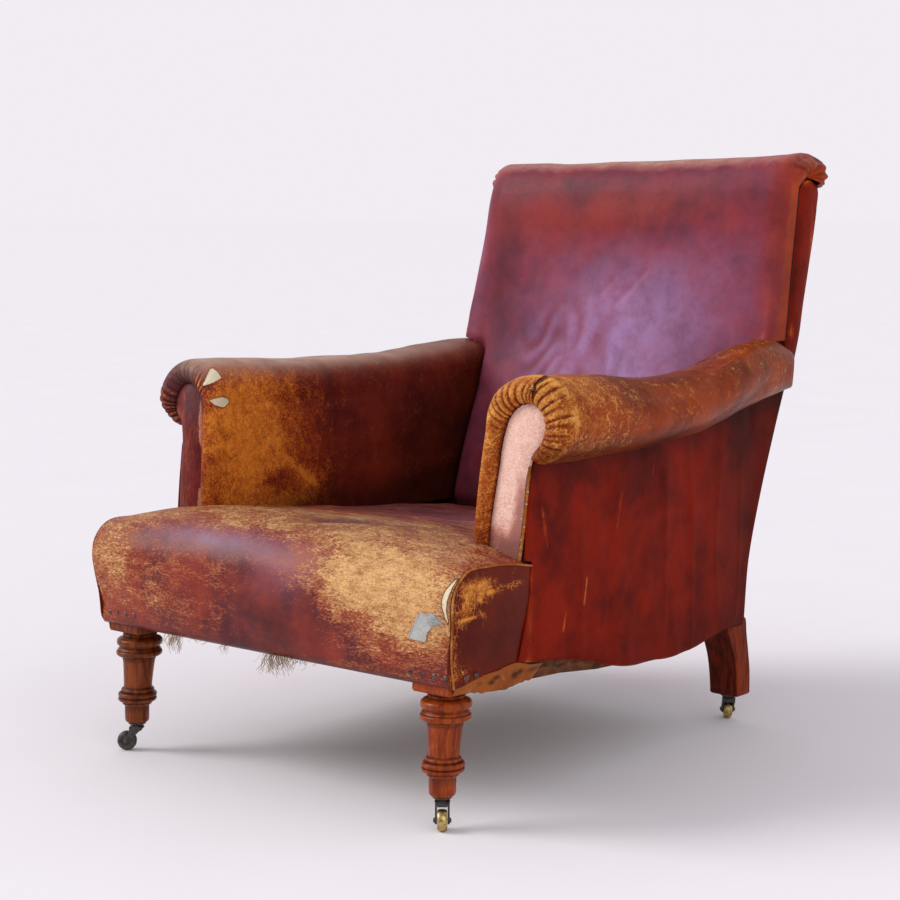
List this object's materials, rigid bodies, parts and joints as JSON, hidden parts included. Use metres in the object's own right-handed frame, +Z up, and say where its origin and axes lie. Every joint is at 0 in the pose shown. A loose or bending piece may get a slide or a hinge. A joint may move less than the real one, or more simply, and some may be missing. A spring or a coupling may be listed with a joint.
{
  "type": "club chair",
  "caption": "Low leather-covered armchair with scrolled arms, a sprung seat, turned front legs, curved back legs and swivelling castors; worn, cracked and torn.",
  "frame": {"origin": "on the floor, under the middle of the chair's bounding box", "axes": "+Z up, +X to the right of someone who faces the chair, +Y from the seat front to the back"},
  "size_m": [0.7918, 0.9435, 0.8635],
  "materials": {
    "polished_wood": "worn shellac polish over stained birch or beech",
    "frame_wood": "plain sawn beech, unfinished",
    "brass": "worn, slightly tarnished",
    "dark_iron": "dark, unpolished",
    "spring_steel": "dull drawn wire",
    "jute_webbing": "coarse woven jute",
    "spring_canvas": "coarse hessian",
    "horsehair_stuffing": "loose curled horsehair",
    "seat_leather": "crazed and rubbed to tan, with tears",
    "arm_leather": "crackled and rubbed along the tops",
    "side_leather": "deep red, lightly scratched",
    "back_leather": "smooth oxblood, creased in the middle"
  },
  "bodies": {
    "chair": {"front_leg_left": "polished_wood", "back_leg_left": "polished_wood", "front_leg_right": "polished_wood", "back_leg_right": "polished_wood", "front_rail": "frame_wood", "back_rail": "frame_wood", "side_rail_left": "frame_wood", "side_rail_right": "frame_wood", "arm_post_left": "frame_wood", "arm_post_right": "frame_wood", "arm_rail_left": "frame_wood", "arm_rail_right": "frame_wood", "lower_back_rail": "frame_wood", "crest_rail": "frame_wood", "castor_plate_front_left": "brass", "castor_plate_front_right": "brass", "castor_plate_back_left": "brass", "castor_plate_back_right": "brass", "seat_webbing": "jute_webbing", "seat_spring_1": "spring_steel", "seat_spring_2": "spring_steel", "seat_spring_3": "spring_steel", "seat_spring_4": "spring_steel", "seat_spring_5": "spring_steel", "seat_spring_6": "spring_steel", "seat_spring_7": "spring_steel", "seat_spring_8": "spring_steel", "seat_spring_9": "spring_steel", "spring_canvas": "spring_canvas", "seat_stuffing": "horsehair_stuffing", "seat_cover": "seat_leather", "seat_gusset_left": "seat_leather", "seat_gusset_right": "seat_leather", "arm_stuffing_left": "horsehair_stuffing", "arm_cover_left": "arm_leather", "arm_facing_left": "arm_leather", "outside_arm_left": "side_leather", "arm_stuffing_right": "horsehair_stuffing", "arm_cover_right": "arm_leather", "arm_facing_right": "arm_leather", "outside_arm_right": "side_leather", "back_webbing": "jute_webbing", "back_stuffing": "horsehair_stuffing", "back_cover": "back_leather", "back_side_left": "side_leather", "back_side_right": "side_leather", "outside_back": "side_leather"},
    "swivel_front_left": {"castor_horn_front_left": "dark_iron", "castor_axle_front_left": "dark_iron"},
    "wheel_front_left": {"castor_wheel_front_left": "brass"},
    "swivel_front_right": {"castor_horn_front_right": "dark_iron", "castor_axle_front_right": "dark_iron"},
    "wheel_front_right": {"castor_wheel_front_right": "brass"},
    "swivel_back_left": {"castor_horn_back_left": "dark_iron", "castor_axle_back_left": "dark_iron"},
    "wheel_back_left": {"castor_wheel_back_left": "brass"},
    "swivel_back_right": {"castor_horn_back_right": "dark_iron", "castor_axle_back_right": "dark_iron"},
    "wheel_back_right": {"castor_wheel_back_right": "brass"}
  },
  "joints": [
    {"name": "swivel_front_left", "type": "hinge", "parent": "chair", "child": "swivel_front_left", "pos_m": [-0.29, -0.4292, 0.035], "axis": [0, 0, 1], "continuous": true},
    {"name": "roll_front_left", "type": "hinge", "parent": "swivel_front_left", "child": "wheel_front_left", "pos_m": [-0.30149, -0.43884, 0.014], "axis": [-0.6428, 0.766, 0], "continuous": true},
    {"name": "swivel_front_right", "type": "hinge", "parent": "chair", "child": "swivel_front_right", "pos_m": [0.29, -0.4292, 0.035], "axis": [0, 0, 1], "continuous": true},
    {"name": "roll_front_right", "type": "hinge", "parent": "swivel_front_right", "child": "wheel_front_right", "pos_m": [0.29964, -0.44069, 0.014], "axis": [-0.766, -0.6428, 0], "continuous": true},
    {"name": "swivel_back_left", "type": "hinge", "parent": "chair", "child": "swivel_back_left", "pos_m": [-0.267, 0.2718, 0.035], "axis": [0, 0, 1], "continuous": true},
    {"name": "roll_back_left", "type": "hinge", "parent": "swivel_back_left", "child": "wheel_back_left", "pos_m": [-0.28109, 0.27693, 0.014], "axis": [0.342, 0.9397, 0], "continuous": true},
    {"name": "swivel_back_right", "type": "hinge", "parent": "chair", "child": "swivel_back_right", "pos_m": [0.267, 0.2718, 0.035], "axis": [0, 0, 1], "continuous": true},
    {"name": "roll_back_right", "type": "hinge", "parent": "swivel_back_right", "child": "wheel_back_right", "pos_m": [0.25736, 0.28329, 0.014], "axis": [0.766, 0.6428, 0], "continuous": true}
  ]
}
